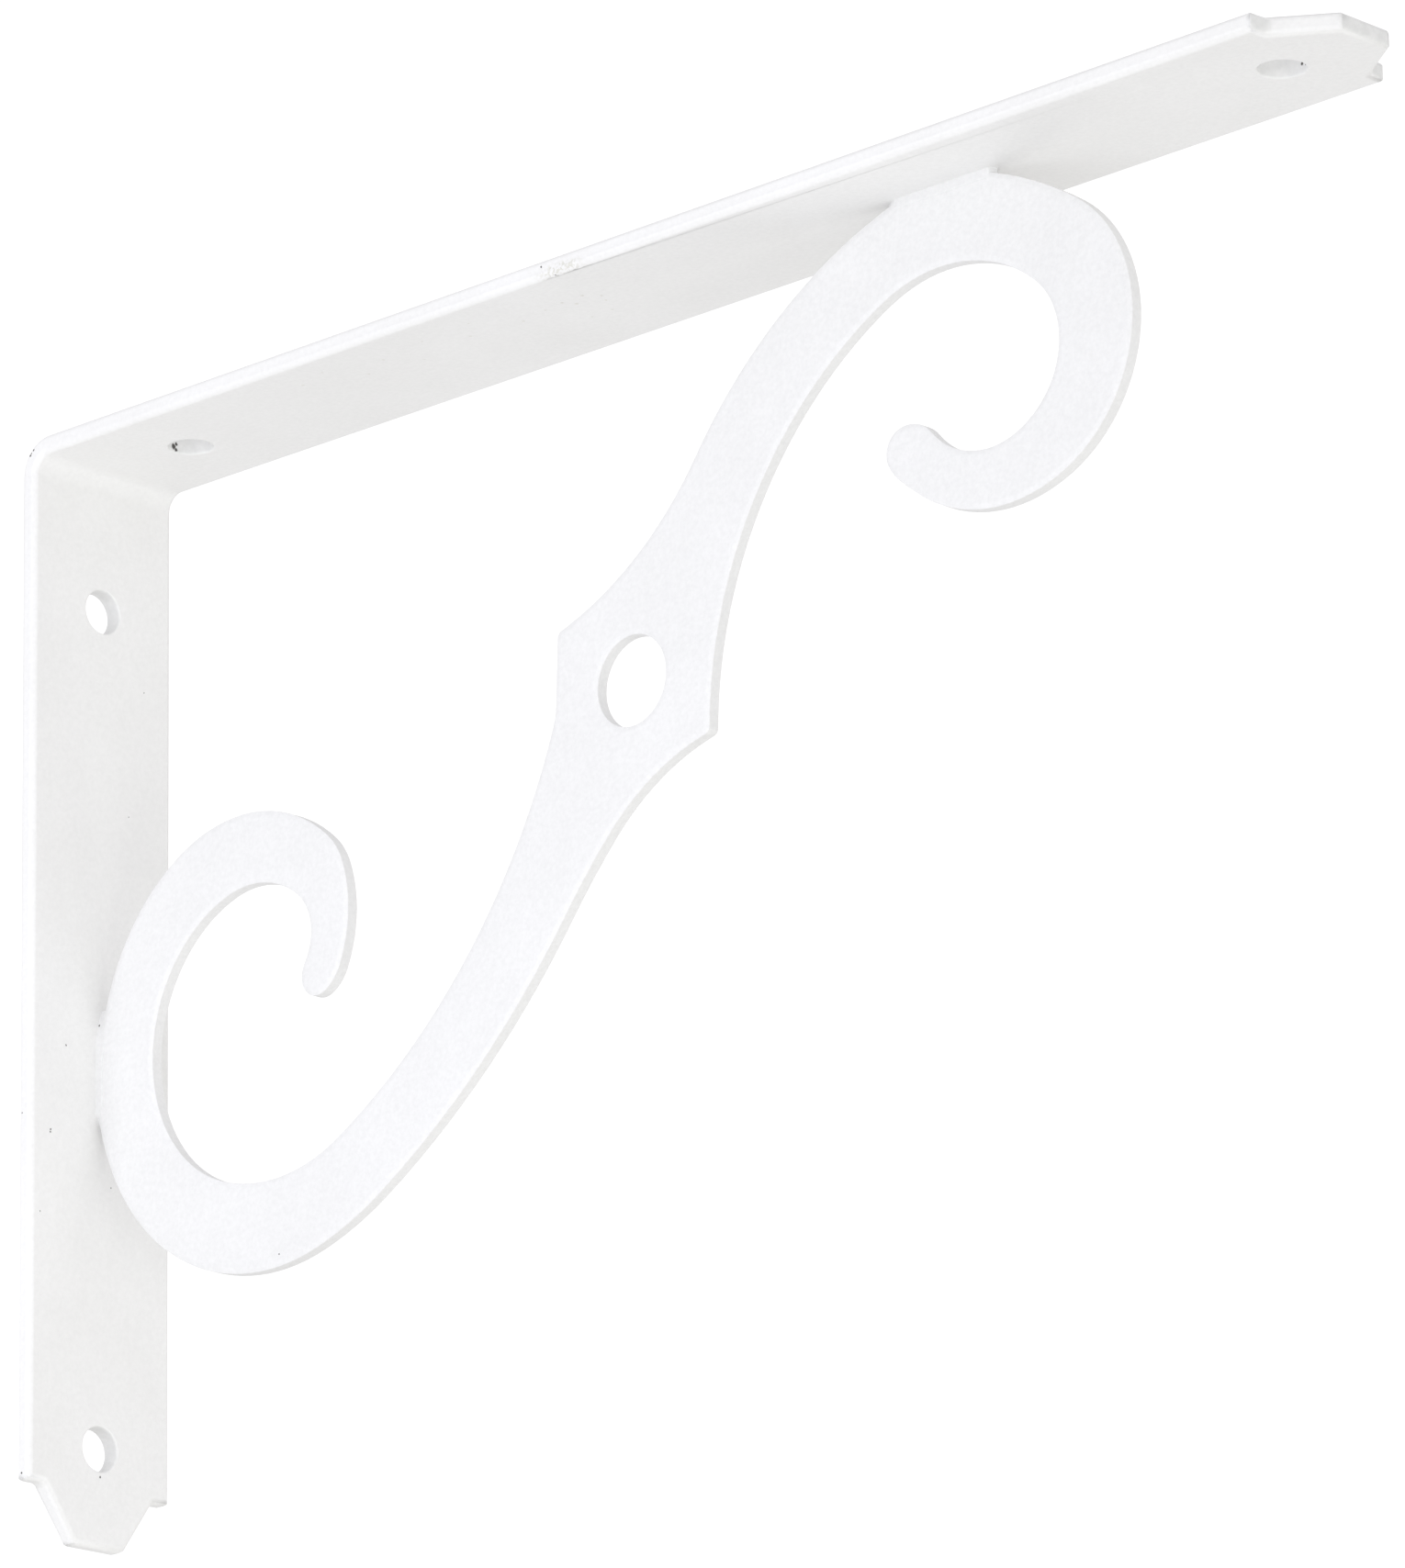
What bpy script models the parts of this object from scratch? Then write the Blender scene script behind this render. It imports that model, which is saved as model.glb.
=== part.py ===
"""Scroll shelf bracket of white-coated steel, at its real size in metres, +Z up.

One flat strip is bent square into a wall leg and a shelf leg. A flat scroll plate stands on edge along the
middle of the strip and is welded to both legs, so that it braces the corner between them.

X runs out from the wall, Y across the strip and Z up. The origin is on the back of the wall leg, on its
centreline, midway between its two screw holes.
"""

import math

import bmesh
import bpy

# Strip and its bend
STRIP_WIDTH = 0.025
STRIP_THICKNESS = 0.0026
SHELF_LENGTH = 0.225
WALL_HEIGHT = 0.150
BEND_RADIUS = 0.005

# Stepped, tapered ends of the strip: a small square ledge at each side, then a straight taper to a flat tip
TAPER_LENGTH = 0.0075
TAPER_LEDGE = 0.0029
TIP_WIDTH = 0.0088

# Screw holes on the centreline, by their distance from the outer faces of the corner
SCREW_HOLE_DIAMETER = 0.006
WALL_HOLE_DROPS = (0.0217, 0.1367)
SHELF_HOLE_REACHES = (0.0198, 0.2116)

# Scroll plate, and the hair's breadth that parts it from the strip where the welds hold it
PLATE_THICKNESS = 0.002
WELD_GAP = 0.0003
CENTRE_HOLE_DIAMETER = 0.012
CENTRE_HOLE_REACH = 0.1021
CENTRE_HOLE_DROP = 0.0545
LOZENGE_ROUNDING = 0.001

# Soft arris that the coat leaves on every edge but the screw holes' rims, and how far a facet may fall
# inside its curve
ARRIS = 0.0005
FACET_SAG = 0.000012

# The scroll's edge is laid out from the outer corner of the strip, as (reach from the wall, height), where
# heights below the shelf face are negative. It touches the strip along two short flats.
STRIP_UNDERSIDE = -STRIP_THICKNESS - WELD_GAP
STRIP_FRONT = STRIP_THICKNESS + WELD_GAP
SHELF_FLAT = ((0.1490, STRIP_UNDERSIDE), (0.1639, STRIP_UNDERSIDE))
WALL_FLAT = ((STRIP_FRONT, -0.0919), (STRIP_FRONT, -0.0840))

# The lozenge around the centre hole has two pointed corners, one towards the wall and one away from it
INNER_POINT = (0.08905, -0.04524)
OUTER_POINT = (0.11555, -0.06425)

# Each edge of the scroll is a run of arcs that flow into each other, each given by its radius and its turn
# in degrees, left turns positive, and starts from an end of a flat on the heading given here.
UPPER_NECK_HEADING = 195.9
UPPER_NECK = (
    (0.06565, 38.3),
    (0.0470, -34.8),
)
UPPER_CURL_HEADING = -17.8
UPPER_CURL_BACK = (
    (0.05685, -17.0),
    (0.0198, -120.5),
    (0.0236, -61.2),
    (0.0632, -3.8),
)
UPPER_CURL_TIP = (
    (0.00835, -20.3),
    (0.0032, -110.4),
    (0.0053, -59.5),
)
UPPER_CURL_THROAT = (
    (0.0122, 102.2),
    (0.01095, 86.7),
    (0.02325, 67.6),
    (0.05445, 61.3),
)
LOWER_NECK_HEADING = -79.4
LOWER_NECK = (
    (0.0329, 95.4),
    (0.05075, 14.6),
    (0.1207, 21.4),
    (0.10285, -6.5),
    (0.0349, -31.0),
)
LOWER_CURL_HEADING = 79.9
LOWER_CURL_BACK = (
    (0.0921, -3.5),
    (0.02995, -44.7),
    (0.02445, -73.6),
    (0.01025, -28.3),
    (0.01825, -45.4),
)
LOWER_CURL_TIP = (
    (0.00565, -42.7),
    (0.0029, -128.3),
    (0.0065, -14.3),
)
LOWER_CURL_THROAT = (
    (0.00715, 82.2),
    (0.0142, 54.6),
    (0.0202, 144.8),
    (0.02645, 47.9),
    (0.08635, 41.4),
    (0.0081, 17.4),
)

# Height of the shelf face above the origin
SHELF_FACE = sum(WALL_HOLE_DROPS) / 2

# How far a cutter reaches past the metal that it cuts
CUTTER_MARGIN = 0.003

COAT_COLOUR = (0.83, 0.83, 0.815, 1.0)
COAT_ROUGHNESS = 0.42


def facets(radius, sweep):
    """Number of straight facets that follow an arc of this radius and sweep, in radians."""
    return max(1, math.ceil(abs(sweep) / (2 * math.acos(1 - FACET_SAG / radius))))


def arc_run(start, heading, arcs):
    """Points of a run of tangent arcs, from its start on a heading in degrees."""
    x, z = start
    heading = math.radians(heading)
    points = [start]
    for radius, turn in arcs:
        side = math.copysign(radius, turn)
        sweep = math.radians(turn)
        centre_x = x - side * math.sin(heading)
        centre_z = z + side * math.cos(heading)
        count = facets(radius, sweep)
        for step in range(1, count + 1):
            angle = heading + sweep * step / count
            x = centre_x + side * math.sin(angle)
            z = centre_z - side * math.cos(angle)
            points.append((x, z))
        heading += sweep
    return points


def rounded_point(before, corner, after, radius):
    """Points of the small arc that rounds a corner between its two neighbours."""
    heading_in = math.atan2(corner[1] - before[1], corner[0] - before[0])
    heading_out = math.atan2(after[1] - corner[1], after[0] - corner[0])
    turn = (heading_out - heading_in + math.pi) % (2 * math.pi) - math.pi
    back = radius * math.tan(abs(turn) / 2)
    start = (corner[0] - back * math.cos(heading_in), corner[1] - back * math.sin(heading_in))
    return arc_run(start, math.degrees(heading_in), ((radius, math.degrees(turn)),))


def scroll_outline():
    """Edge of the scroll plate, clockwise as seen from the near side."""
    upper_neck = arc_run(SHELF_FLAT[0], UPPER_NECK_HEADING, UPPER_NECK)
    upper_curl = arc_run(
        SHELF_FLAT[1], UPPER_CURL_HEADING, UPPER_CURL_BACK + UPPER_CURL_TIP + UPPER_CURL_THROAT
    )
    lower_neck = arc_run(WALL_FLAT[0], LOWER_NECK_HEADING, LOWER_NECK)
    lower_curl = arc_run(
        WALL_FLAT[1], LOWER_CURL_HEADING, LOWER_CURL_BACK + LOWER_CURL_TIP + LOWER_CURL_THROAT
    )
    inner_point = rounded_point(lower_curl[-1], INNER_POINT, upper_neck[-1], LOZENGE_ROUNDING)
    outer_point = rounded_point(upper_curl[-1], OUTER_POINT, lower_neck[-1], LOZENGE_ROUNDING)
    return inner_point + upper_neck[::-1] + upper_curl + outer_point + lower_neck[::-1] + lower_curl


def strip_profile():
    """Side view of the bent strip, from the foot of the wall leg round to the end of the shelf leg."""
    inner_radius = BEND_RADIUS - STRIP_THICKNESS
    outer_bend = arc_run((0.0, -BEND_RADIUS), 90.0, ((BEND_RADIUS, -90.0),))
    inner_bend = arc_run((BEND_RADIUS, -STRIP_THICKNESS), 180.0, ((inner_radius, 90.0),))
    far_end = [(SHELF_LENGTH, 0.0), (SHELF_LENGTH, -STRIP_THICKNESS)]
    foot = [(STRIP_THICKNESS, -WALL_HEIGHT), (0.0, -WALL_HEIGHT)]
    return outer_bend + far_end + inner_bend + foot


def taper_outline(side):
    """Waste beside the tapered end of a leg, as (distance along the leg from its tip, across it)."""
    edge = STRIP_WIDTH / 2
    return [
        (-TAPER_LENGTH, side * (edge + CUTTER_MARGIN)),
        (-TAPER_LENGTH, side * (edge - TAPER_LEDGE)),
        (0.0, side * TIP_WIDTH / 2),
        (CUTTER_MARGIN, side * TIP_WIDTH / 2),
        (CUTTER_MARGIN, side * (edge + CUTTER_MARGIN)),
    ]


def prism(name, base, depth):
    """Object made by extruding a closed outline of 3-D points along a depth vector."""
    shape = bmesh.new()
    face = shape.faces.new([shape.verts.new(point) for point in base])
    pushed = bmesh.ops.extrude_face_region(shape, geom=[face])["geom"]
    moved = [item for item in pushed if isinstance(item, bmesh.types.BMVert)]
    bmesh.ops.translate(shape, verts=moved, vec=depth)
    bmesh.ops.recalc_face_normals(shape, faces=shape.faces)
    mesh = bpy.data.meshes.new(name)
    shape.to_mesh(mesh)
    shape.free()
    made = bpy.data.objects.new(name, mesh)
    bpy.context.scene.collection.objects.link(made)
    return made


def standing_plate(name, outline, width):
    """Object whose side view is the outline, centred across the strip."""
    base = [(x, -width / 2, z + SHELF_FACE) for x, z in outline]
    return prism(name, base, (0.0, width, 0.0))


def round_cutter(name, centre, radius, along):
    """Cylinder that cuts a round hole through a plate, centred where it crosses the plate."""
    count = facets(radius, 2 * math.pi)
    reach = STRIP_THICKNESS / 2 + CUTTER_MARGIN
    base = []
    for step in range(count):
        angle = 2 * math.pi * step / count
        across = (radius * math.cos(angle), radius * math.sin(angle))
        offset = {"X": (-reach, *across), "Y": (across[0], -reach, across[1]), "Z": (*across, -reach)}[along]
        base.append(tuple(c + o for c, o in zip(centre, offset)))
    depth = tuple(2 * reach if axis == along else 0.0 for axis in "XYZ")
    return prism(name, base, depth)


def cut(body, cutter):
    """Takes the cutter's shape out of the body."""
    cutter.hide_render = True
    cutter.display_type = "WIRE"
    difference = body.modifiers.new(cutter.name, "BOOLEAN")
    difference.operation = "DIFFERENCE"
    difference.solver = "EXACT"
    difference.object = cutter


def soften_arrises(body):
    """Gives every sharp edge the narrow soft arris of its coat, and shades the rest smooth."""
    bevel = body.modifiers.new("Soft arris", "BEVEL")
    bevel.width = ARRIS
    bevel.segments = 1
    bevel.limit_method = "ANGLE"
    bevel.angle_limit = math.radians(40.0)
    body.data.shade_smooth()
    body.data.set_sharp_from_angle(angle=math.radians(40.0))


def coat(name):
    """White powder coat, satin and slightly warm."""
    material = bpy.data.materials.new(name)
    material.use_nodes = True
    shader = material.node_tree.nodes["Principled BSDF"]
    shader.inputs["Base Color"].default_value = COAT_COLOUR
    shader.inputs["Roughness"].default_value = COAT_ROUGHNESS
    shader.inputs["Metallic"].default_value = 0.0
    return material


def taper_cutters():
    """The four pieces of waste that leave a tapered end on each leg."""
    cutters = []
    for side, label in ((-1, "near"), (1, "far")):
        shelf_end = [
            (SHELF_LENGTH + along, across, SHELF_FACE + CUTTER_MARGIN) for along, across in taper_outline(side)
        ]
        drop = -STRIP_THICKNESS - 2 * CUTTER_MARGIN
        cutters.append(prism("shelf_taper_" + label, shelf_end, (0.0, 0.0, drop)))
        foot_height = SHELF_FACE - WALL_HEIGHT
        foot = [(-CUTTER_MARGIN, across, foot_height - along) for along, across in taper_outline(side)]
        reach = STRIP_THICKNESS + 2 * CUTTER_MARGIN
        cutters.append(prism("foot_taper_" + label, foot, (reach, 0.0, 0.0)))
    return cutters


def screw_hole_cutters():
    """The four punches of the screw holes, two through each leg."""
    radius = SCREW_HOLE_DIAMETER / 2
    middle = STRIP_THICKNESS / 2
    cutters = []
    for number, drop in enumerate(WALL_HOLE_DROPS):
        centre = (middle, 0.0, SHELF_FACE - drop)
        cutters.append(round_cutter(f"wall_hole_{number}", centre, radius, "X"))
    for number, reach in enumerate(SHELF_HOLE_REACHES):
        centre = (reach, 0.0, SHELF_FACE - middle)
        cutters.append(round_cutter(f"shelf_hole_{number}", centre, radius, "Z"))
    return cutters


def angle_strip():
    """The bent strip: wall leg and shelf leg in one piece, with tapered ends and four crisp screw holes."""
    strip = standing_plate("angle_strip", strip_profile(), STRIP_WIDTH)
    for cutter in taper_cutters():
        cut(strip, cutter)
    soften_arrises(strip)
    for cutter in screw_hole_cutters():
        cut(strip, cutter)
    strip.data.materials.append(coat("strip coat"))
    return strip


def scroll_brace():
    """The flat scroll plate between the legs, with the round hole in its lozenge."""
    brace = standing_plate("scroll_brace", scroll_outline(), PLATE_THICKNESS)
    centre = (CENTRE_HOLE_REACH, 0.0, SHELF_FACE - CENTRE_HOLE_DROP)
    cut(brace, round_cutter("centre_hole", centre, CENTRE_HOLE_DIAMETER / 2, "Y"))
    soften_arrises(brace)
    brace.data.materials.append(coat("scroll coat"))
    return brace


for old in list(bpy.data.objects):
    bpy.data.objects.remove(old, do_unlink=True)
angle_strip()
scroll_brace()
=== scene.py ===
import math

import bmesh
import bpy
from mathutils import Matrix, Vector, noise
from mathutils.bvhtree import BVHTree


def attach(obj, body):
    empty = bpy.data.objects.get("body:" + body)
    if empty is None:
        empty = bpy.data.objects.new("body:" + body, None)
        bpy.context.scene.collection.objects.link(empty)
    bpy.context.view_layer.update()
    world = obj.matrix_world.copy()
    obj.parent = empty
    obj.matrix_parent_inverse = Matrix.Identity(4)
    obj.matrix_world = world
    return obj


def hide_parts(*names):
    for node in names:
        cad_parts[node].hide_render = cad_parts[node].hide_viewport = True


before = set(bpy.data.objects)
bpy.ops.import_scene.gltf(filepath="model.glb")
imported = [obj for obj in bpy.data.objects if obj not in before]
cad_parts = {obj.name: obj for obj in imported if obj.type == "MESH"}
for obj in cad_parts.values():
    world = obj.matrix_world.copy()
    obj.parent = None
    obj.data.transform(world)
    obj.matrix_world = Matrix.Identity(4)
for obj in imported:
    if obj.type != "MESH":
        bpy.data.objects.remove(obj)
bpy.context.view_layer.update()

# The studio. The bracket hangs in the air over a pale floor far below, in an even pale room with four soft
# boxes near it, and the white backdrop behind it is seen by the camera alone. The camera stands low, out from
# the wall and to the near side, with a long lens.
MM = 0.001
AIM = Vector((113.4 * MM, 0.0, 8.7 * MM))
AZIMUTH = math.radians(43.745)
ELEVATION = math.radians(-16.95)
ROLL = math.radians(-0.908)
DISTANCE = 1175.9 * MM
LENS = 216.1
SENSOR = 36.0
NEAR_CLIP = 0.05
FAR_CLIP = 60.0
FLOOR_HEIGHT = -1.5
FLOOR_SPAN = 14.0
FLOOR_COLOUR = (0.88, 0.88, 0.87, 1.0)
ROOM_COLOUR = (0.798, 0.792, 0.808, 1.0)
DOME_RADIUS = 20.0
DOME_GLOW = 1.1
BLACK = (0.0, 0.0, 0.0, 1.0)
WHITE = (1.0, 1.0, 1.0, 1.0)
MATTE = 0.9

camera_data = bpy.data.cameras.new("camera")
camera_data.sensor_width = SENSOR
camera_data.lens = LENS
camera_data.clip_start = NEAR_CLIP
camera_data.clip_end = FAR_CLIP
camera = bpy.data.objects.new("camera", camera_data)
bpy.context.scene.collection.objects.link(camera)
away = Vector((
    math.sin(AZIMUTH) * math.cos(ELEVATION), -math.cos(AZIMUTH) * math.cos(ELEVATION), math.sin(ELEVATION)
))
turn = (-away).to_track_quat("-Z", "Y").to_matrix() @ Matrix.Rotation(ROLL, 3, "Z")
camera.matrix_world = Matrix.Translation(AIM + DISTANCE * away) @ turn.to_4x4()
bpy.context.scene.camera = camera
bpy.context.scene.view_settings.view_transform = "Standard"


def soft_box(name, direction, distance, size, watts, colour):
    """A square soft light that stands in a direction from the bracket and faces it."""
    light_data = bpy.data.lights.new(name, "AREA")
    light_data.shape = "SQUARE"
    light_data.size = size
    light_data.energy = watts
    light_data.color = colour
    light = bpy.data.objects.new(name, light_data)
    bpy.context.scene.collection.objects.link(light)
    toward = Vector(direction).normalized()
    place = Matrix.Translation(AIM + distance * toward)
    light.matrix_world = place @ (-toward).to_track_quat("-Z", "Y").to_matrix().to_4x4()


soft_box("close left", (-0.30, -0.95, -0.10), 0.35, 0.3, 0.327, (0.89, 0.91, 1.0))
soft_box("near right", (0.35, -0.90, -0.30), 0.7, 0.7, 1.218, (0.92, 0.94, 1.0))
soft_box("side", (0.86, -0.10, -0.42), 1.8, 1.2, 5.11, (0.99, 1.0, 0.93))
soft_box("far below", (0.10, 0.50, -0.85), 0.6, 0.4, 0.312, (1.0, 0.99, 0.93))

room = bpy.data.worlds.new("even room")
room.use_nodes = True
room.node_tree.nodes["Background"].inputs["Color"].default_value = ROOM_COLOUR
bpy.context.scene.world = room


def staged(name, shape, material_name, colour, glow):
    """A matte piece of the stage, which may give light of its own."""
    mesh = bpy.data.meshes.new(name)
    shape.to_mesh(mesh)
    shape.free()
    piece = bpy.data.objects.new(name, mesh)
    bpy.context.scene.collection.objects.link(piece)
    material = bpy.data.materials.new(material_name)
    material.use_nodes = True
    shader = material.node_tree.nodes["Principled BSDF"]
    shader.inputs["Base Color"].default_value = colour
    shader.inputs["Roughness"].default_value = MATTE
    shader.inputs["Specular IOR Level"].default_value = 0.0
    shader.inputs["Emission Color"].default_value = WHITE
    shader.inputs["Emission Strength"].default_value = glow
    mesh.materials.append(material)
    return piece


floor_shape = bmesh.new()
bmesh.ops.create_grid(floor_shape, x_segments=1, y_segments=1, size=FLOOR_SPAN / 2)
bmesh.ops.translate(floor_shape, verts=floor_shape.verts, vec=(0.0, 0.0, FLOOR_HEIGHT))
staged("floor", floor_shape, "pale paper", FLOOR_COLOUR, 0.0)

dome_shape = bmesh.new()
bmesh.ops.create_icosphere(dome_shape, subdivisions=4, radius=DOME_RADIUS)
bmesh.ops.reverse_faces(dome_shape, faces=dome_shape.faces)
dome = staged("white_backdrop", dome_shape, "white cloth", BLACK, DOME_GLOW)
dome.visible_diffuse = False
dome.visible_glossy = False
dome.visible_transmission = False
dome.visible_shadow = False

# The strip. Flat mild steel, cropped to an arrow at each end, punched with four screw holes and bent square,
# then powder-coated white. The coat has run thick over every edge, so that the arrises are soft and round.
# The screw holes have crisper rims and walls painted darker, and the cropped end of the shelf leg has painted
# shade.
WELD_TOGETHER = 0.002 * MM
FLAT_ENOUGH = math.radians(0.5)
CORNER_AREA = 0.3 * MM * MM
ROLL_STEPS = 4
RIM_ROLL = 0.3 * MM
RIM_ANGLE = math.radians(60.0)
ARRIS_ROLL = 0.33 * MM
ARRIS_ANGLE = math.radians(25.0)


def roll_over(shape, edges, roll):
    """Runs the coat over a set of edges, so that the surface turns in a small curve there."""
    bmesh.ops.bevel(
        shape, geom=edges, offset=roll, segments=ROLL_STEPS, profile=0.5, affect="EDGES", material=-1
    )


def coated(node, name, finish_arrises, material):
    """A copy of a solid with its triangles joined into faces and its arrises finished by the coat."""
    shape = bmesh.new()
    shape.from_mesh(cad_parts[node].data)
    bmesh.ops.remove_doubles(shape, verts=shape.verts, dist=WELD_TOGETHER)
    bmesh.ops.dissolve_limit(shape, angle_limit=FLAT_ENOUGH, verts=shape.verts, edges=shape.edges)
    finish_arrises(shape)
    for face in shape.faces:
        face.smooth = True
    mesh = bpy.data.meshes.new(name)
    shape.to_mesh(mesh)
    shape.free()
    mesh.materials.append(material)
    piece = bpy.data.objects.new(name, mesh)
    bpy.context.scene.collection.objects.link(piece)
    even = piece.modifiers.new("flat faces stay flat", "WEIGHTED_NORMAL")
    even.weight = 100
    even.keep_sharp = False
    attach(piece, "root")
    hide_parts(node)
    return piece


def add_node(tree, kind, inputs, **settings):
    """A shader node with its settings made and each input given a value or a link."""
    node = tree.nodes.new(kind)
    for setting, value in settings.items():
        setattr(node, setting, value)
    for socket, value in inputs.items():
        if isinstance(value, bpy.types.NodeSocket):
            tree.links.new(value, node.inputs[socket])
        else:
            node.inputs[socket].default_value = value
    return node


def pattern(tree, place, scale, detail):
    """A noise in the coat, with its scale in repeats to the metre."""
    return add_node(tree, "ShaderNodeTexNoise", {
        "Vector": place.outputs["Object"], "Scale": scale, "Detail": detail
    })


def carry(tree, value, from_low, from_high, to_low=0.0, to_high=1.0):
    """A value carried from one range into another and held inside it."""
    return add_node(tree, "ShaderNodeMapRange", {
        "Value": value, "From Min": from_low, "From Max": from_high, "To Min": to_low, "To Max": to_high
    }).outputs["Result"]


def reckon(tree, operation, first, second):
    """One sum on two values."""
    return add_node(tree, "ShaderNodeMath", {0: first, 1: second}, operation=operation).outputs["Value"]


def largest(tree, masks):
    """The largest of several masks at each point."""
    joined = masks[0]
    for mask in masks[1:]:
        joined = reckon(tree, "MAXIMUM", joined, mask)
    return joined


def painted(tree, mask, colour, paint):
    """A colour with a paint over it where a mask says."""
    return add_node(tree, "ShaderNodeMix", {0: mask, 6: colour, 7: paint}, data_type="RGBA").outputs[2]


SPOT_SCALE = 2600.0
SPOT_RAGGED = 0.22 * MM
SPOT_CORE = 0.55


def spot_mask(tree, place, spots):
    """A mask that is 1 on small ragged spots of the surface, each given as x, y, z and radius in mm."""
    noise_map = pattern(tree, place, SPOT_SCALE, 1.0)
    centred = add_node(tree, "ShaderNodeVectorMath", {
        0: noise_map.outputs["Color"], 1: (0.5, 0.5, 0.5)
    }, operation="SUBTRACT")
    shaken = add_node(tree, "ShaderNodeVectorMath", {
        0: centred.outputs["Vector"], 1: (SPOT_RAGGED,) * 3, 2: place.outputs["Object"]
    }, operation="MULTIPLY_ADD")
    masks = []
    for x, y, z, radius in spots:
        reach = add_node(tree, "ShaderNodeVectorMath", {
            0: shaken.outputs["Vector"], 1: (x * MM, y * MM, z * MM)
        }, operation="DISTANCE")
        masks.append(carry(tree, reach.outputs["Value"], radius * MM, SPOT_CORE * radius * MM))
    return largest(tree, masks)


COAT_IOR = 1.5
GRAIN_SCALE = 1700.0
GRAIN_ROUGHNESS = 0.6
GRAIN_DEPTH = 0.03 * MM
PEEL_SCALE = 620.0
PEEL_DEPTH = 0.05 * MM
COAT_RELIEF = 0.6
CLOUD_SCALE = 60.0
NOISE_LOW = 0.3
NOISE_HIGH = 0.7
SATIN_LOW = 0.34
SATIN_HIGH = 0.46
SPOT_DEPTH = 0.06 * MM
SPOT_RELIEF = 0.8
FAINT_MARK = (0.77, 0.755, 0.71, 1.0)
SPOT_NEAR_BLACK = (0.055, 0.05, 0.045, 1.0)


def powder_coat(name, dark, light, speckle, dark_spots=(), faint_spots=(), tinted_places=()):
    """White polyester powder coat: satin, orange-peeled, with dark and faint spots and darker tinted places,
    some of them painted shade.
    """
    material = bpy.data.materials.new(name)
    material.use_nodes = True
    tree = material.node_tree
    shader = tree.nodes["Principled BSDF"]
    shader.inputs["IOR"].default_value = COAT_IOR
    place = tree.nodes.new("ShaderNodeTexCoord")

    grain = pattern(tree, place, GRAIN_SCALE, 2.0)
    grain.inputs["Roughness"].default_value = GRAIN_ROUGHNESS
    peel = pattern(tree, place, PEEL_SCALE, 2.0)
    peel_bump = add_node(tree, "ShaderNodeBump", {
        "Height": peel.outputs["Fac"], "Strength": COAT_RELIEF, "Distance": PEEL_DEPTH
    })
    grain_bump = add_node(tree, "ShaderNodeBump", {
        "Height": grain.outputs["Fac"], "Strength": COAT_RELIEF, "Distance": GRAIN_DEPTH,
        "Normal": peel_bump.outputs["Normal"]
    })
    normal = grain_bump.outputs["Normal"]

    cloud = pattern(tree, place, CLOUD_SCALE, 4.0)
    tint = add_node(tree, "ShaderNodeValToRGB", {"Fac": cloud.outputs["Fac"]})
    tint.color_ramp.elements[0].position = NOISE_LOW
    tint.color_ramp.elements[0].color = dark
    tint.color_ramp.elements[1].position = NOISE_HIGH
    tint.color_ramp.elements[1].color = light
    speck = carry(
        tree, grain.outputs["Fac"], NOISE_LOW, NOISE_HIGH, 1.0 - speckle, 1.0 + 0.9 * speckle
    )
    colour = add_node(tree, "ShaderNodeVectorMath", {
        0: tint.outputs["Color"], "Scale": speck
    }, operation="SCALE").outputs["Vector"]
    rough = carry(tree, cloud.outputs["Fac"], 0.0, 1.0, SATIN_LOW, SATIN_HIGH)

    # Each of these places mixes a darker colour into the coat: painted shade on the cropped end, partly
    # painted shade in the chip, and a darker tone on the hole walls.
    for find_places, show, darker_colour in tinted_places:
        patchy = carry(tree, peel.outputs["Fac"], NOISE_LOW, NOISE_HIGH, 0.5 * show, 1.5 * show)
        tinted = reckon(tree, "MULTIPLY", find_places(tree, place), patchy)
        colour = painted(tree, tinted, colour, darker_colour)

    for spots, paint in ((faint_spots, FAINT_MARK), (dark_spots, SPOT_NEAR_BLACK)):
        if spots:
            mask = spot_mask(tree, place, spots)
            colour = painted(tree, mask, colour, paint)
            dent = add_node(tree, "ShaderNodeBump", {
                "Height": mask, "Strength": SPOT_RELIEF, "Distance": SPOT_DEPTH, "Normal": normal
            }, invert=True)
            normal = dent.outputs["Normal"]

    tree.links.new(colour, shader.inputs["Base Color"])
    tree.links.new(rough, shader.inputs["Roughness"])
    tree.links.new(normal, shader.inputs["Normal"])
    return material


HOLE_SPREAD = 3.06 * MM
HOLE_FADE_OUT = 0.12 * MM
HOLE_FADE_IN = 0.03 * MM
WALL_HOLES = (57.5 * MM, -57.5 * MM)
SHELF_HOLES = (19.8 * MM, 211.6 * MM)


def hole_mask(tree, place):
    """A mask that is 1 on the walls of the four screw holes, which are painted darker."""
    holes = [((0.0, 1.0, 1.0), (0.0, 0.0, height)) for height in WALL_HOLES]
    holes += [((1.0, 1.0, 0.0), (reach, 0.0, 0.0)) for reach in SHELF_HOLES]
    masks = []
    for across, centre in holes:
        flat = add_node(tree, "ShaderNodeVectorMath", {
            0: place.outputs["Object"], 1: across
        }, operation="MULTIPLY")
        reach = add_node(tree, "ShaderNodeVectorMath", {
            0: flat.outputs["Vector"], 1: centre
        }, operation="DISTANCE")
        masks.append(carry(
            tree, reach.outputs["Value"], HOLE_SPREAD + HOLE_FADE_OUT, HOLE_SPREAD - HOLE_FADE_IN
        ))
    return largest(tree, masks)


CROP_FROM = 217.0 * MM
CROP_FULL = 217.2 * MM
CROP_FACING_FROM = 0.7
CROP_FACING_FULL = 0.92


def crop_end_shade_mask(tree, place):
    """A mask that is 1 on the cropped end of the shelf leg, where it faces along the leg, for painted shade
    there.
    """
    facing = add_node(tree, "ShaderNodeSeparateXYZ", {"Vector": place.outputs["Normal"]})
    outward = carry(tree, facing.outputs["X"], CROP_FACING_FROM, CROP_FACING_FULL)
    where = add_node(tree, "ShaderNodeSeparateXYZ", {"Vector": place.outputs["Object"]})
    beyond = carry(tree, where.outputs["X"], CROP_FROM, CROP_FULL)
    return reckon(tree, "MULTIPLY", outward, beyond)


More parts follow.
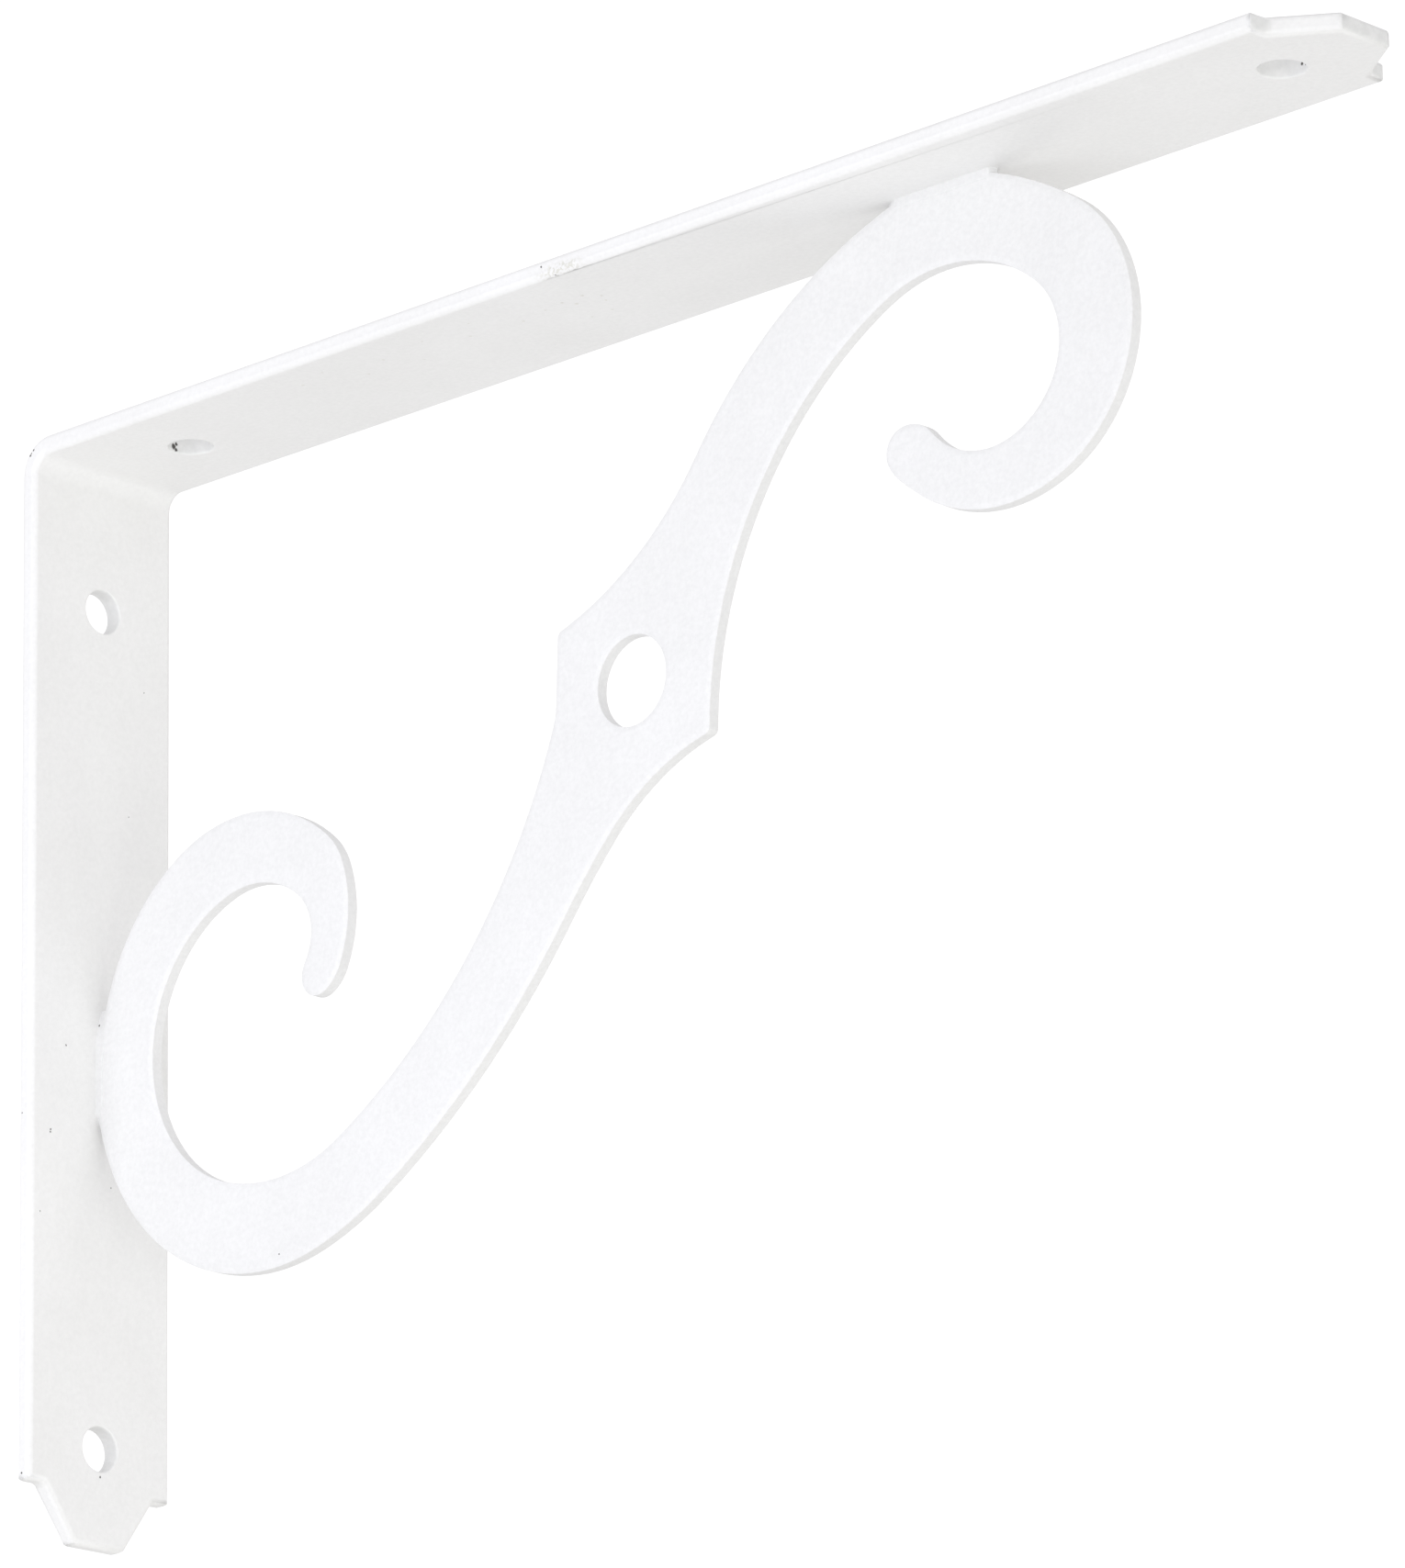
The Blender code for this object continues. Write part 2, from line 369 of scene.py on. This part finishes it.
CRUMB_SCALE = 2300.0
CRUMB_LOW = 0.47
CRUMB_HIGH = 0.6
CRUMB_EDGES = (
    ("X", 96.8 * MM, 99.0 * MM), ("X", 106.0 * MM, 103.6 * MM),
    ("Y", -11.6 * MM, -11.9 * MM), ("Z", 78.2 * MM, 77.6 * MM),
)


def chip_crumb_and_shade_mask(tree, place):
    """A grainy mask over the recoated chip in the near lower arris of the shelf leg; its darker crumbs are
    partly the grain of the new coat and partly painted shade between its lumps.
    """
    where = add_node(tree, "ShaderNodeSeparateXYZ", {"Vector": place.outputs["Object"]})
    crumbs = pattern(tree, place, CRUMB_SCALE, 1.0)
    mask = carry(tree, crumbs.outputs["Fac"], CRUMB_LOW, CRUMB_HIGH)
    for axis, outside, inside in CRUMB_EDGES:
        mask = reckon(tree, "MULTIPLY", mask, carry(tree, where.outputs[axis], outside, inside))
    return mask


CHIP_FROM = 96.2 * MM
CHIP_TO = 107.0 * MM
CHIP_STEP = 0.3 * MM
CHIP_HEIGHTS = (77.6 * MM, 77.8 * MM, 78.0 * MM, 78.2 * MM)
CHIP_NEAR = -11.5 * MM
CHIP_FLOOR = 76.0 * MM
CHIP_TOP = 78.3 * MM
CHIP_FADE_TOP = 78.4 * MM
CHIP_FADE = 0.7 * MM
CHIP_DEPTH = 0.15 * MM
CHIP_MARGIN = 0.02
CHIP_ENDS = 6.0
CHIP_LEVEL = 0.35
LUMP = 0.75 * MM
CRUMB = 0.33 * MM
CRUMB_SHARE = 0.6
CUT_TOLERANCE = 1e-7


def chip_arris(shape):
    """The rough place where the near lower arris of the shelf leg was chipped and coated again."""
    def near_arris():
        faces = [
            f for f in shape.faces
            if max(v.co.y for v in f.verts) < CHIP_NEAR and min(v.co.z for v in f.verts) > CHIP_FLOOR
            and max(v.co.x for v in f.verts) > CHIP_FROM and min(v.co.x for v in f.verts) < CHIP_TO
        ]
        edges = {e for f in faces for e in f.edges}
        verts = {v for f in faces for v in f.verts}
        return faces, edges, verts

    def cut(place, facing):
        faces, edges, verts = near_arris()
        bmesh.ops.bisect_plane(
            shape, geom=faces + list(edges) + list(verts), dist=CUT_TOLERANCE, plane_co=place, plane_no=facing
        )

    steps = round((CHIP_TO - CHIP_FROM) / CHIP_STEP)
    for step in range(steps + 1):
        cut((CHIP_FROM + step * CHIP_STEP, 0.0, 0.0), (1.0, 0.0, 0.0))
    for height in CHIP_HEIGHTS:
        cut((0.0, 0.0, height), (0.0, 0.0, 1.0))
    shape.normal_update()
    for vert in near_arris()[2]:
        along = (vert.co.x - CHIP_FROM) / (CHIP_TO - CHIP_FROM)
        if not CHIP_MARGIN < along < 1.0 - CHIP_MARGIN or vert.co.z > CHIP_TOP:
            continue
        fade = min(1.0, CHIP_ENDS * along, CHIP_ENDS * (1.0 - along))
        fade *= min(1.0, (CHIP_FADE_TOP - vert.co.z) / CHIP_FADE)
        rough = noise.noise(vert.co / LUMP) + CRUMB_SHARE * noise.noise(vert.co / CRUMB)
        vert.co -= vert.normal * CHIP_DEPTH * fade * max(0.0, CHIP_LEVEL + rough)


def finish_strip_arrises(shape):
    """Crisp rims at the screw holes and soft arrises everywhere else, with the chip in one of them."""
    rims = [e for e in shape.edges if e.is_manifold and e.calc_face_angle() > RIM_ANGLE]
    roll_over(shape, rims, RIM_ROLL)
    corners = {e for f in shape.faces if f.calc_area() < CORNER_AREA for e in f.edges}
    arrises = [
        e for e in shape.edges
        if e.is_manifold and e.calc_face_angle() > ARRIS_ANGLE and e not in corners
    ]
    roll_over(shape, arrises, ARRIS_ROLL)
    chip_arris(shape)


# Dark spots: bare steel at the bend, in and under the chip, on the wall leg and near side; dark spots in two
# holes.
DARK_SPOTS = (
    (1.70, -12.47, 76.95, 0.22), (1.92, -12.47, 77.2, 0.14), (2.40, -12.47, 77.58, 0.2),
    (98.38, -12.48, 78.21, 0.17), (100.4, -11.93, 76.74, 0.14),
    (2.6, -6.33, -3.94, 0.14), (2.6, -9.0, -15.9, 0.16), (2.6, -9.02, -16.25, 0.14),
    (2.6, 1.77, -21.98, 0.13), (2.6, -10.81, -27.25, 0.11), (2.6, 0.01, -61.24, 0.2),
    (2.6, 4.77, 29.71, 0.1), (2.6, 7.5, 47.7, 0.1),
    (1.18, -12.5, -62.36, 0.18), (0.2, -12.4, -40.5, 0.13), (0.87, -12.5, -13.93, 0.12),
    (16.83, -0.4, 77.35, 0.5), (16.82, 0.05, 77.0, 0.32), (16.82, 0.1, 77.8, 0.3),
    (212.38, 2.88, 77.9, 0.3), (213.2, 2.5, 77.5, 0.2),
)
# Faint marks, all under the shelf leg.
FAINT_SPOTS = (
    (48.1, -6.3, 76.6, 0.22), (53.4, -7.9, 76.6, 0.17), (57.2, -3.1, 76.6, 0.2), (62.5, -5.6, 76.6, 0.24),
    (66.3, -1.9, 76.6, 0.16), (71.0, -6.9, 76.6, 0.2), (76.8, -3.8, 76.6, 0.22), (80.1, -7.4, 76.6, 0.16),
    (85.6, -2.9, 76.6, 0.24), (93.87, -4.2, 76.6, 0.28), (94.93, -2.6, 76.6, 0.3), (97.6, -4.3, 76.6, 0.3),
    (99.3, -2.5, 76.6, 0.24), (98.5, -0.85, 76.6, 0.22), (96.63, 2.2, 76.6, 0.22), (92.9, 2.3, 76.6, 0.2),
    (90.46, -3.8, 76.6, 0.2),
)
# Darker colours mixed into the strip coat: a grey on the hole walls and, as painted shade, on the cropped
# end; a cream on the chip's crumbs, partly painted shade between its lumps.
DARKENING_GREY = (0.36, 0.38, 0.37, 1.0)
CHIP_CRUMB_AND_SHADE = (0.73, 0.725, 0.67, 1.0)
TINTED_PLACES = (
    (hole_mask, 0.13, DARKENING_GREY), (crop_end_shade_mask, 0.19, DARKENING_GREY), (chip_crumb_and_shade_mask, 0.9, CHIP_CRUMB_AND_SHADE)
)
STRIP_DARK = (0.865, 0.863, 0.85, 1.0)
STRIP_LIGHT = (0.893, 0.892, 0.882, 1.0)
STRIP_SPECKLE = 0.024
coated("angle_strip", "coated_strip", finish_strip_arrises, powder_coat(
    "strip powder coat", STRIP_DARK, STRIP_LIGHT, STRIP_SPECKLE, DARK_SPOTS, FAINT_SPOTS, TINTED_PLACES
))

# The scroll. One flat plate cut to an S with a pointed lozenge and a round hole at its middle and a curl with
# a rounded tip at each end. It stands on edge along the middle of the strip. The press has pulled its faces
# down a little beside the cut, and the cut edge itself is square and crisp.
PLATE_HALF = 1.0 * MM
AT_FACE = 0.99 * PLATE_HALF
BELOW_FACE = 0.6 * PLATE_HALF
CUT_EDGE_HALF = 0.82 * MM
CUT_EDGE_REACH = 0.01 * MM
PULL_DOWN_STRETCH = 0.3
FACE_ROLL = 0.2 * MM
FACE_ANGLE = math.radians(5.0)
CUT_ROLL = 0.09 * MM
CUT_ANGLE = math.radians(40.0)
PLATE_DARK = (0.82, 0.82, 0.812, 1.0)
PLATE_LIGHT = (0.85, 0.85, 0.843, 1.0)
PLATE_SPECKLE = 0.033
PLATE_SPOTS = ((37.6, -1.0, -37.9, 0.12),)


def finish_plate_arrises(shape):
    """A shallow fall of the face beside the cut edge, and a crisp turn from it into the edge."""
    slopes = []
    for edge in shape.edges:
        lower, upper = sorted(edge.verts, key=lambda v: abs(v.co.y))
        same_side = lower.co.y * upper.co.y > 0
        if same_side and abs(upper.co.y) > AT_FACE and abs(lower.co.y) < BELOW_FACE:
            slopes.append((lower, upper, upper.co - lower.co))
    for lower, upper, across in slopes:
        upper.co += Vector((across.x, 0.0, across.z)) * PULL_DOWN_STRETCH
        lower.co.y = math.copysign(CUT_EDGE_HALF, lower.co.y)
    shape.normal_update()
    falls = [
        e for e in shape.edges
        if e.is_manifold and min(abs(v.co.y) for v in e.verts) > AT_FACE
        and e.calc_face_angle() > FACE_ANGLE
    ]
    roll_over(shape, falls, FACE_ROLL)
    cuts = [
        e for e in shape.edges
        if e.is_manifold and all(abs(abs(v.co.y) - CUT_EDGE_HALF) < CUT_EDGE_REACH for v in e.verts)
        and e.calc_face_angle() > CUT_ANGLE
    ]
    roll_over(shape, cuts, CUT_ROLL)


scroll = coated("scroll_brace", "scroll_plate", finish_plate_arrises, powder_coat(
    "scroll powder coat", PLATE_DARK, PLATE_LIGHT, PLATE_SPECKLE, PLATE_SPOTS
))

# The two welds. The plate touches the strip along a short flat at each curl and is resistance-welded there.
# The coat bridges the join with a small hollow fillet along each side, and narrows to a thin web at each
# end, where the gap opens.
STRIP_THICKNESS = 2.6 * MM
SHELF_TOP = 79.2 * MM
FILLET_FOOT = 0.1 * MM
FILLET_LIP = 0.004 * MM
FILLET_RISE = 0.95 * MM
FILLET_STEPS = 8
THIN_END = 0.05 * MM
THIN_NECK = 0.8 * THIN_END
CROWN_SHARE = 0.7
BLUNT_RUN = 0.9 * MM
SHORT_RUN = 2.5 * MM
LONG_RUN = 5.0 * MM
SUNK = 0.06 * MM
STRIP_SIDE = -0.999 * SUNK
WELD_STEPS = 60
SHELF_WELD_FROM = 147.2 * MM
SHELF_WELD_TO = 165.4 * MM
WALL_WELD_FROM = -14.2 * MM
WALL_WELD_TO = 1.8 * MM
WELD_SPOTS = ((2.85, -0.62, -0.3, 0.2),)


def weld_bead(name, corner, along, out, start, end, end_run, material):
    """A bead between the strip's face and the plate's edge, thin at its ends and flat where it is hidden."""
    plate_shape = bmesh.new()
    plate_shape.from_mesh(scroll.data)
    plate = BVHTree.FromBMesh(plate_shape)
    plate_shape.free()
    full_foot = PLATE_HALF + FILLET_FOOT
    full_neck = PLATE_HALF + FILLET_LIP
    shape = bmesh.new()
    rings = []
    for step in range(WELD_STEPS + 1):
        run = start + (end - start) * 0.5 * (1.0 - math.cos(math.pi * step / WELD_STEPS))
        foot = corner + along * run
        gap = (plate.ray_cast(foot, out)[0] - foot).dot(out)
        ripe = max(0.0, min(1.0, (run - start) / SHORT_RUN, (end - run) / end_run))
        full = math.sin(math.radians(90.0) * ripe)
        wide = THIN_END + (full_foot - THIN_END) * full
        neck = THIN_NECK + (full_neck - THIN_NECK) * full
        rise = gap + SUNK + FILLET_RISE * full
        half = []
        for turn in range(FILLET_STEPS + 1):
            angle = math.radians(90.0) * turn / FILLET_STEPS
            half.append((
                wide - (wide - neck) * math.sin(angle), (rise + SUNK) * (1.0 - math.cos(angle)) - SUNK
            ))
        half.append((CROWN_SHARE * neck, rise + SUNK))
        outline = half + [(-across, depth) for across, depth in reversed(half)]
        points = [
            shape.verts.new(foot + out * depth + Vector((0.0, across, 0.0))) for across, depth in outline
        ]
        rings.append([shape.edges.new(pair) for pair in zip(points, points[1:] + points[:1])])
    for first, second in zip(rings, rings[1:]):
        bmesh.ops.bridge_loops(shape, edges=first + second)
    for side in shape.faces:
        side.smooth = max((v.co - corner).dot(out) for v in side.verts) > STRIP_SIDE
    bmesh.ops.edgeloop_fill(shape, edges=rings[0] + rings[-1])
    bmesh.ops.recalc_face_normals(shape, faces=shape.faces)
    mesh = bpy.data.meshes.new(name)
    shape.to_mesh(mesh)
    shape.free()
    mesh.materials.append(material)
    bead = bpy.data.objects.new(name, mesh)
    bpy.context.scene.collection.objects.link(bead)
    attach(bead, "root")


weld_coat = powder_coat("weld powder coat", PLATE_DARK, PLATE_LIGHT, PLATE_SPECKLE, WELD_SPOTS)
weld_bead(
    "shelf_weld", Vector((0.0, 0.0, SHELF_TOP - STRIP_THICKNESS)), Vector((1.0, 0.0, 0.0)),
    Vector((0.0, 0.0, -1.0)), SHELF_WELD_FROM, SHELF_WELD_TO, BLUNT_RUN, weld_coat
)
weld_bead(
    "wall_weld", Vector((STRIP_THICKNESS, 0.0, 0.0)), Vector((0.0, 0.0, 1.0)),
    Vector((1.0, 0.0, 0.0)), WALL_WELD_FROM, WALL_WELD_TO, LONG_RUN, weld_coat
)
